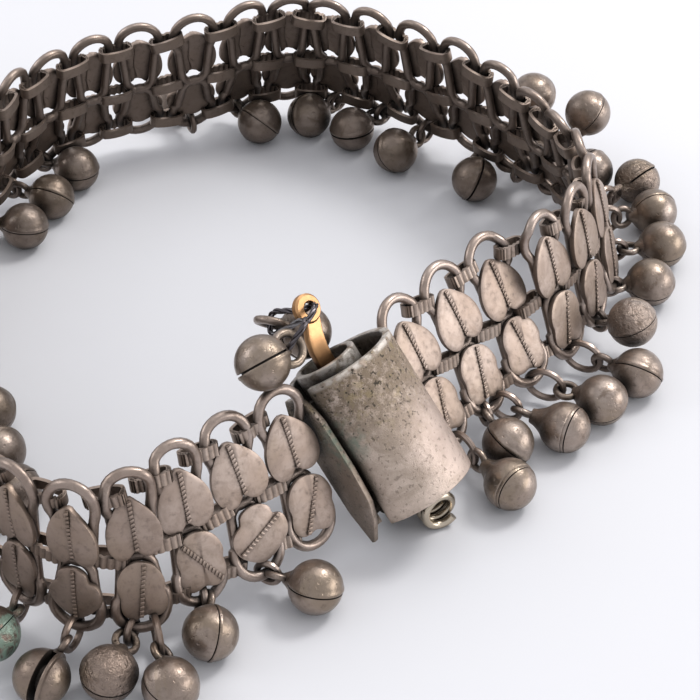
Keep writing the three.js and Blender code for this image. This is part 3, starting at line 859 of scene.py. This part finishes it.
# %% Bells on the band
BELL = 5.7
BELLS = [
    (1, 0.53, 0.72, 0, 0.2), (2, -0.28, 0.68, 0, 0), (3, -0.76, 0.80, 0, -0.5),
    (3, 0.13, 1.32, 0, 0.4), (4, -0.07, 1.19, 0, 0), (5, 0.39, 1.08, 0.33, 0),
    (6, 0.00, 0.95, 0, 0), (7, -0.32, -1.29, 0, 0), (8, -0.47, -1.24, 0, -0.4),
    (8, 0.11, 0.98, 0, 0.4), (10, 0.42, -1.17, 0, 0), (9, -0.18, 0.84, 0, 0),
    (11, 0.00, 0.98, 0, 0), (12, -0.18, 0.95, 0, 0), (14, 0.00, 0.98, 0, 0),
    (15, -0.20, 0.95, 0, -0.45), (15, 0.20, -0.90, 0, 0.45), (16, -0.13, -1.05, 0, 0),
    (17, -0.31, -0.72, 0, 0), (20, 0.00, 0.95, 0, 0), (21, -0.16, -0.71, 0, 0),
    (23, 0.40, -0.76, 0, 0), (24, 0.28, -0.92, 0, 0), (25, 0.10, -1.10, 0, 0),
    (26, -0.75, -0.86, 0, -0.4), (27, -0.20, 0.80, 0, -0.45), (27, 0.60, 1.30, 0.90, 0.4),
    (28, 0.00, 1.04, 0, -0.3), (28, 0.55, 1.45, 0.98, 0.4), (29, 0.65, 1.52, 0, 0.45),
    (29, -0.40, 1.26, 0, -0.45), (30, 0.06, 1.04, 0, 0), (31, 0.25, 0.69, 0, 0),
    (32, -0.28, 0.77, 0.41, 0), (33, 0.19, 1.30, 0, 0), (34, 0.50, 1.22, 0, 0),
    (35, 0.50, 1.26, 0, 0.5), (35, -0.50, 0.76, 0, -0.45), (36, -0.26, 1.38, 0, 0),
]
ARC = 2.5
HOOK_TURN = 0.885
JUMP_WIRE = 0.36
JUMP_SPARE = 0.62  # how far a ring reaches past the two wires that it joins
JUMP_LEAST, JUMP_MOST = 1.15, 1.7
ONE_RING = 4.2  # a bell farther from its wire than this hangs by two rings


def lower_wire(index, hook):
    """The point of a column's lower wire that a bell's ring runs round."""
    turn = math.pi / 2 + hook * HOOK_TURN
    return in_band(index, (-math.cos(turn) * ARC, ARC - math.sin(turn) * ARC, -0.12))


random.seed(21)
GAPS = {1: 0.13, 2: 0.1, 5: 0.8, 37: 0.12, 39: 0.12}
SLITS = {1: (0.12, 0.39, 0.91), 2: (0.91, -0.26, -0.31), 3: (0.0, -0.5, 0.86),
         4: (0.51, -0.34, 0.79), 5: (0.58, -0.80, -0.11)}
PITTED = (3, 30, 34)
PEARS = (37, 39)
rings = {side: bmesh.new() for side in HALVES}
for number, (index, along, out, lift, hook) in enumerate(BELLS, 1):
    f = FRAMES[index]
    centre = f["origin"] + f["side"] * along * BELL + f["outward"] * out * BELL
    centre.z = REST + lift * BELL
    start = lower_wire(index, hook)
    away = (start - centre).normalized()
    level = Vector((0, 0, 1)).cross(away).normalized()
    roll = random.uniform(-1.5, 1.5)
    upright = away.cross(level)
    normal = Vector(SLITS.get(number, upright * math.cos(roll) + level * math.sin(roll)))
    gap = GAPS.get(number, random.choice((0.08, 0.1, 0.13, 0.2)))
    whole, middle = bell(centre, away, normal, gap, number in PEARS)
    finish = pitted_silver if number in PITTED else bell_silver
    piece(f"hung_bell_{number:02d}", whole, finish,
          replaced=[f"bell_{number:02d}"])
    reach = (start - middle).length
    count = 1 if reach < ONE_RING else 2
    side = "left" if index < SPLIT else "right"
    first = middle + away * (LOOP - 0.1)
    span = start - first
    for k in range(count):
        low = first + span * (k / count)
        high = first + span * ((k + 1) / count)
        flat = upright if k % 2 == 0 else level
        half = max((high - low).length / 2 + JUMP_SPARE, JUMP_LEAST)
        radii = (half, min(half, JUMP_MOST))
        join(rings[side], hoop((low + high) / 2, away, flat, radii, JUMP_WIRE, 26, 8))
for side, bm in rings.items():
    piece(f"jump_rings_{side}", bm, wire_silver)
print("bells", len(BELLS))

# %% [markdown]
# ## Barrel clasp
# The clasp is a slotted sleeve with a smaller tube inside it, both rolled from sheet. A cylinder
# cut by a boolean would have no wall to soften, so each is a flat grid bent round, thickened and
# bevelled like the leaves. The clasp's own frame has Y up the barrel's axis, X to the band's right
# end and Z out to the viewer.

# %% Clasp frame
FOOT = Vector((6.9, -26.7, 4.3))
HEAD = Vector((-1.2, -21.0, 16.4))
LENGTH = (HEAD - FOOT).length
barrel_up = (HEAD - FOOT).normalized()
barrel_side = FRAMES[-1]["origin"] - FRAMES[0]["origin"]
barrel_side -= barrel_up * barrel_side.dot(barrel_up)
barrel_side.normalize()
barrel_face = barrel_side.cross(barrel_up)
print("barrel length", round(LENGTH, 2))
BARREL = basis(barrel_side, barrel_up, barrel_face, FOOT - MIDDLE)
OUTER = 5.75
SLEEVE_WALL = 0.8
SLOT = 2.4
TUBE_X = -1.3
TUBE_R = 3.25
TUBE_WALL = 0.72
TUBE_FOOT = 0.6
TUBE_TOP = LENGTH + 0.9


def rolled(radius, wall, low, high, open_angle, centre_x=0.0):
    """A rolled sheet round Y, open by an angle about -X, with soft rims."""
    def place(u, v):
        turn = math.pi + open_angle + u * 2 * (math.pi - open_angle)
        return Vector((centre_x + math.cos(turn) * radius, low + (high - low) * v,
                       math.sin(turn) * radius))

    bm = grid(88, 12, place)
    bmesh.ops.remove_doubles(bm, verts=bm.verts, dist=SEAM)
    thickened(bm, lambda f: f.normal.x * f.calc_center_median().x, wall)
    softened(bm, 0.14, 3)
    return bm


def in_barrel(x, y, z):
    """A point of the clasp's frame, on the table."""
    return BARREL @ Vector((x, y, z))


# %% [markdown]
# The barrel is matte and frosted. Brown and ochre stains and dark specks gather in its upper half,
# the mouth's rim is worn bright, the right edge is pinkish and the slot has gone green. A painted
# image would need the barrel unwrapped; here the stains follow the height up the barrel's own axis,
# which is the place's distance along that direction.

# %% Barrel finish
def frosted(name):
    """The barrel's finish, from its broad tone to its stains, specks, dirt and painted shade."""
    graph = Graph(name, METALLIC, 0.5)
    offset = graph.node("ShaderNodeVectorMath", {"operation": "SUBTRACT"},
                        {0: graph.place, 1: tuple((FOOT - MIDDLE) * MM)}, output="Vector")
    height = graph.node("ShaderNodeVectorMath", {"operation": "DOT_PRODUCT"},
                        {0: offset, 1: tuple(barrel_up)}, output="Value")
    broad = graph.noise(210.0, 5.0, 0.65, 0.6)
    fine = graph.noise(2100.0, 6.0, 0.75)
    base = graph.mix(graph.ramp(broad, 0.36, 0.62), rgb(0.60, 0.492, 0.420),
                     rgb(0.38, 0.305, 0.246))
    pink = graph.near(in_barrel(4.6, 5.0, 3.6), 3.0, 9.0)
    base = graph.mix(pink * 0.5, base, rgb(0.47, 0.37, 0.335))
    upper = graph.ramp(height, 4.5 * MM, 14.0 * MM)
    stain = upper * graph.ramp(graph.noise(900.0, 8.0, 0.85), 0.40, 0.53)
    base = graph.mix(stain.clamped() * 0.85, base, rgb(0.165, 0.120, 0.076))
    ochre = upper * graph.ramp(graph.noise(980.0, 4.0, 0.7, 0.4), 0.52, 0.64)
    base = graph.mix(ochre.clamped() * 0.35, base, rgb(0.34, 0.275, 0.125))
    specks = graph.ramp(graph.noise(2400.0, 3.0, 0.6), 0.57, 0.66) * (0.35 + upper * 0.65)
    base = graph.mix(specks.clamped(), base, rgb(0.045, 0.035, 0.025))
    green = graph.near(in_barrel(-6.2, 9.5, 2.0), 1.2, 3.6) * graph.ramp(
        graph.noise(800.0, 3.0), 0.38, 0.6)
    base = graph.mix(green.clamped() * 0.7, base, rgb(0.13, 0.19, 0.14))
    worn = graph.ramp(height, (LENGTH - 0.75) * MM, (LENGTH - 0.2) * MM) * graph.ramp(
        graph.noise(900.0, 3.0), 0.35, 0.55)
    base = graph.mix(worn.clamped() * 0.8, base, rgb(0.74, 0.68, 0.62))
    # Dirt darkens the hollows, and painted shade darkens the whole inside of the sleeve and tube.
    soot_and_shade = graph.hollows(1.4) * 1.1 + graph.hollows(7.0) * 1.25
    graph.colour(graph.mix(soot_and_shade.clamped(), base, rgb(0.022, 0.017, 0.012)))
    graph.rough((0.33 + fine * 0.26 + stain * 0.12 - worn * 0.2).clamped())
    graph.metallic((METALLIC - stain * 0.35 - green * 0.5).clamped())
    graph.bump(fine * 1.2 + broad * 0.8 - specks * 0.8 - stain * 0.5, 0.6, 0.13)
    return graph.material


barrel_silver = frosted("barrel_silver_finish")
sleeve = rolled(OUTER, SLEEVE_WALL, 0, LENGTH, math.asin(SLOT / 2 / OUTER))
piece("sleeve", join(bmesh.new(), sleeve, BARREL), barrel_silver,
      replaced=["barrel_sleeve"])
tube = rolled(TUBE_R, TUBE_WALL, TUBE_FOOT, TUBE_TOP, 0.0, TUBE_X)
piece("tube", join(bmesh.new(), tube, BARREL), barrel_silver,
      replaced=["inner_tube"])

# %% [markdown]
# The end plate is a strip soldered to the band's left end, with a pointed foot and a web that runs
# in the sleeve's slot. A cube could be pulled into shape, but its curved edges are easier to read
# as rows of share, height and depth, with a grid filling the strip between them.

# %% End plate
END_WALL = 0.6
END_FRONT = [(0.0, -1.2, -1.5), (0.14, 1.2, 0.6), (0.3, 3.2, 1.6), (0.5, 7.0, 2.0),
             (0.8, 12.6, 2.0), (0.93, 14.6, 1.3), (1.0, 15.4, 0.5)]
END_BACK = [(0.0, -1.2, -1.9), (0.3, 2.4, -2.6), (0.8, 13.4, -2.6), (1.0, 15.4, -1.6)]


def edge_at(rows, share):
    """The height and depth of a drawn edge at a share of its length."""
    for (s0, y0, z0), (s1, y1, z1) in zip(rows, rows[1:]):
        if share <= s1:
            part = (share - s0) / (s1 - s0)
            return y0 + (y1 - y0) * part, z0 + (z1 - z0) * part
    return rows[-1][1:]


def end_plate():
    """The strip beside the sleeve with its web, in the clasp's frame."""
    def place(u, v):
        y0, z0 = edge_at(END_FRONT, v)
        y1, z1 = edge_at(END_BACK, v)
        return Vector((-(OUTER + 0.3), y0 + (y1 - y0) * u, z0 + (z1 - z0) * u))

    bm = grid(6, 24, place)
    thickened(bm, lambda f: f.normal.x, END_WALL)
    softened(bm, 0.1, 2)
    reach = TUBE_X - TUBE_R - 0.3 + OUTER + END_WALL
    web = Matrix.Translation((-(OUTER + END_WALL) + reach / 2, LENGTH / 2, 0))
    return join(bm, cube(), web @ Matrix.Diagonal((reach, LENGTH - 3, 0.9, 1)))


piece("clasp_plate", join(bmesh.new(), end_plate(), BARREL), barrel_silver,
      replaced=["end_plate"])

# %% [markdown]
# ## Pin, tie wire and their two bells
# The pin is a flat gold-coloured bar, narrower towards its curled end, with an eye for the tie
# wire. The bar is a skin with a wall, as the leaves are. The eye could be a torus, but it's
# flattened like the bar, so a section with soft corners is turned about its middle.

# %% Gold pin
EYE = Vector((0.2, 21.4, 0))
# across, up, half the width
PIN_LINE = [(TUBE_X, 5.5, 0.95), (TUBE_X, 12.0, 0.95), (TUBE_X, 16.6, 0.95), (-1.1, 17.7, 0.98),
            (-0.62, 18.9, 0.96), (-0.2, 19.9, 0.90), (0.05, 20.6, 0.86)]
PIN_HALF = 0.42
CREASE = 18.9
EYE_INNER, EYE_OUTER = 0.62, 1.48


def gold_pin():
    """A flat strip, its face to the viewer, with a round eye at its top."""
    last = len(PIN_LINE) - 1

    def place(u, v):
        x, y, half = PIN_LINE[round(v * last)]
        dip = 0.35 * max(0, 1 - abs(y - CREASE) / 2.2)
        return Vector((x + (u * 2 - 1) * half, y - (u * 2 - 1) * 0.12 * (y > 17), PIN_HALF - dip))

    bm = grid(4, last, place)
    thickened(bm, lambda f: f.normal.z, PIN_HALF * 2)
    softened(bm, 0.14, 3)
    inner, outer, half = EYE_INNER, EYE_OUTER, PIN_HALF + 0.05
    section = [(inner, -half + 0.15), (inner + 0.15, -half), (outer - 0.2, -half),
               (outer, -half + 0.2), (outer, half - 0.2), (outer - 0.2, half), (inner + 0.15, half),
               (inner, half - 0.15), (inner, -half + 0.15)]
    count = len(section) - 1

    def ring_place(u, v):
        radius, height = section[round(v * count)]
        turn = u * 2 * math.pi
        swell = 1 + 0.10 * math.cos(turn - 2.6) * (radius > 1)
        return EYE + Vector((math.cos(turn) * radius * swell, math.sin(turn) * radius * swell,
                             height))

    return join(bm, closed(grid(40, count, ring_place)))


gold_graph = Graph("gold_finish", 1.0, 0.3)
gold_fine = gold_graph.noise(1400.0, 3.0)
# The pin is darker in its creases, and painted shade darkens it where it runs down into the tube.
gold_creases_and_shade = (gold_graph.hollows(0.9) * 1.1 + gold_graph.near(
    in_barrel(TUBE_X, 14.6, 0), 2.2, 4.6) * 0.9).clamped()
gold_graph.colour(gold_graph.mix(gold_creases_and_shade, rgb(0.56, 0.315, 0.150), rgb(0.08, 0.04, 0.018)))
gold_graph.rough(0.24 + gold_fine * 0.24)
gold_graph.bump(gold_fine, 0.3, 0.06)
piece("pin", join(bmesh.new(), gold_pin(), BARREL), gold_graph.material, body="pin",
      replaced=["gold_pin"])

# %% [markdown]
# The two bells on the pin are like the others, but their cast loops are wider. They hang from the
# wire and not from the band, so each is placed by its own middle, its loop's middle and the
# direction that its loop faces, in the clasp's frame.

# %% Tie bells
TIE_LOOP = 1.55
TIE_LOOP_WIRE = 0.42
TIE_GAP = 0.2
FRONT = {"centre": (-9.15, 20.87, 3.07), "loop": (-5.9, 20.3, 3.0), "face": (-0.54, 0.22, 0.82)}
BACK = {"centre": (1.2, 18.8, -4.2), "loop": (-1.35, 21.5, -4.2), "face": (0.55, 0.83, 0.14)}


def tie_bell(row):
    """One of the two bells on the pin, from its row."""
    centre, loop, face = (Vector(row[key]) for key in ("centre", "loop", "face"))
    away = loop - centre
    slit = away.cross(face)
    whole, _ = bell(centre, away, slit, TIE_GAP, False, TIE_LOOP, TIE_LOOP_WIRE, away.length)
    return join(bmesh.new(), whole, BARREL)


for end, row in (("front", FRONT), ("back", BACK)):
    piece(f"{end}_tie_bell", tie_bell(row), bell_silver, body="pin",
          replaced=[f"tie_bell_{end}"])

# %% [markdown]
# The blackened tie wire is wound and runs through the pin's eye and both loops. One thick wire
# would look like a rod, so three thin strands turn about the same smooth closed way.

# %% Tie wire
STRANDS = 3
STRAND_TURNS = 6
STRAND_RADIUS = 0.15
STRAND_OFFSET = 0.17


def smooth_loop(corners, steps=14):
    """A smooth closed curve through some corners."""
    count = len(corners)
    points = []
    for i in range(count):
        p0, p1, p2, p3 = (corners[(i + k - 1) % count] for k in range(4))
        for j in range(steps):
            t = j / steps
            points.append(0.5 * (2 * p1 + (p2 - p0) * t + (2 * p0 - 5 * p1 + 4 * p2 - p3) * t**2
                                 + (3 * p1 - p0 - 3 * p2 + p3) * t**3))
    return points


def tie_way():
    """The corners of the tie wire's way, in the clasp's frame."""
    def through(row, side):
        return Vector(row["loop"]) + Vector(row["face"]) * side

    return [EYE + Vector((0, 0, 1.35)), through(FRONT, -1), through(FRONT, 1),
            Vector((-3.6, 21.8, 4.6)), through(BACK, -1), through(BACK, 1),
            EYE + Vector((0, 0, -1.35))]


strands = bmesh.new()
way = smooth_loop(tie_way())
ways = carried(way, True)[:-1]
for k in range(STRANDS):
    strand = []
    for i, (point, across, beside) in enumerate(ways):
        turn = 2 * math.pi * (k / STRANDS + STRAND_TURNS * i / len(ways))
        offset = across * math.cos(turn) + beside * math.sin(turn)
        strand.append(point + offset * STRAND_OFFSET)
    join(strands, wire(strand, STRAND_RADIUS, 8, ring=True))
black_graph = Graph("black_wire_finish", 0.9, 0.24)
black_graph.colour(black_graph.mix(black_graph.noise(900.0), rgb(0.05, 0.045, 0.05),
                                   rgb(0.13, 0.115, 0.12)))
piece("tie_strands", join(bmesh.new(), strands, BARREL), black_graph.material,
      body="pin", replaced=["tie_wire"])

# %% [markdown]
# A few turns of brighter wire lie on the table under the barrel's foot. A screw modifier could make
# them, but a loop that works out the turns is as short and gives the same mesh each time.

# %% Coil
COIL_RADIUS = 1.62
COIL_WIRE = 0.44
COIL_TURNS = 2.9
COIL_LENGTH = 2.9
COIL_STEPS = 95
COIL_MIDDLE = Vector((8.3, -26.2, COIL_RADIUS + COIL_WIRE + 0.02)) - MIDDLE
COIL_AXIS = Vector((0.5, -0.87, 0))
COIL_SIDE = Vector((0.87, 0.5, 0))
coil_graph = Graph("coil_finish", 0.95, 0.25)
coil_graph.colour(coil_graph.mix(coil_graph.hollows(0.8), rgb(0.50, 0.43, 0.34),
                                 rgb(0.05, 0.04, 0.03)))
coil_points = []
for i in range(COIL_STEPS + 1):
    share = i / COIL_STEPS
    turn = share * COIL_TURNS * 2 * math.pi
    coil_points.append(COIL_MIDDLE + COIL_AXIS * (share - 0.5) * COIL_LENGTH
                       + COIL_SIDE * math.cos(turn) * COIL_RADIUS
                       + Vector((0, 0, math.sin(turn) * COIL_RADIUS)))
piece("coil", wire(coil_points, COIL_WIRE, 12), coil_graph.material,
      replaced=["wire_coil"])

# %% [markdown]
# ## Table, light and camera
# The anklet lies on a pale cool table. The photo's shadows are soft and the ground has no grain of
# its own, so one matte sheet that reaches far past the picture is enough.

# %% Table
TABLE_COLOUR = rgb(0.62, 0.62, 0.642)
TABLE_REACH = 3.0
floor_graph = Graph("table_finish", 0.0, 0.75)
floor_graph.colour(TABLE_COLOUR)
floor_mesh = bmesh.new()
bmesh.ops.create_grid(floor_mesh, x_segments=1, y_segments=1, size=TABLE_REACH)
mesh = bpy.data.meshes.new("table")
floor_mesh.to_mesh(mesh)
floor_mesh.free()
table = placed("table", mesh)
mesh.materials.append(floor_graph.material)
print("table reaches", TABLE_REACH, "m each way")

# %% [markdown]
# A bright even sky lights every side, because the shadows are pale. Area lights are chosen over
# lamps for their soft edges: one broad light stands above and behind, one at the right, a small one
# makes the glints on the silver, and a weak one fills from the left.

# %% Light
def soft_light(name, place, target, size, power, colour):
    """An area light at a place in metres, aimed at a target."""
    light = bpy.data.lights.new(name, "AREA")
    light.shape = "RECTANGLE"
    light.size, light.size_y = size
    light.energy = power
    light.color = colour
    obj = placed(name, light)
    obj.location = place
    obj.rotation_mode = "QUATERNION"
    obj.rotation_quaternion = (Vector(target) - Vector(place)).to_track_quat("-Z", "Y")


soft_light("key", (0.20, 0.28, 0.62), (0, 0, 0), (0.60, 0.55), 1.4, (1.0, 0.99, 0.98))
soft_light("right", (0.75, -0.07, 0.20), (0.03, 0, 0), (0.55, 0.36), 2.4, (1.0, 0.98, 0.96))
soft_light("highlight", (0.28, 0.16, 0.42), (0, 0, 0), (0.13, 0.13), 1.15, (1.0, 0.99, 0.98))
soft_light("left", (-0.55, 0.10, 0.42), (0, 0, 0), (0.4, 0.3), 0.8, (0.97, 0.98, 1.0))

world = bpy.data.worlds.new("studio")
world.use_nodes = True
sky = world.node_tree.nodes["Background"]
sky.inputs["Color"].default_value = rgb(0.90, 0.91, 0.95)
sky.inputs["Strength"].default_value = 0.90
bpy.context.scene.world = world
print("lights", len(bpy.data.lights))

# %% [markdown]
# The camera looks down at 40 degrees through a long lens. It could be placed by eye, but it was
# fitted to the photo: the band's uprights and the loop's far side come out at the same places.

# %% Camera
LENS = 113.8
CAMERA_PITCH = math.radians(40)
CAMERA_DISTANCE = 240
camera_data = bpy.data.cameras.new("camera")
camera_data.lens = LENS
camera_data.sensor_width = 36
camera_data.clip_start = 0.01
camera_data.clip_end = 20
camera = placed("camera", camera_data)
from_middle = Vector((0, -math.cos(CAMERA_PITCH), math.sin(CAMERA_PITCH))) * CAMERA_DISTANCE
camera.location = (from_middle - MIDDLE) * MM
camera.rotation_euler = (math.pi / 2 - CAMERA_PITCH, 0, 0)
bpy.context.scene.camera = camera
bpy.context.scene.view_settings.view_transform = "Standard"
print("camera at", [round(c, 3) for c in camera.location])

# %% [markdown]
# ## Finish
# The pieces made and their triangles are counted and printed.

# %% Finish
print("pieces", len(made), "triangles", sum(made))
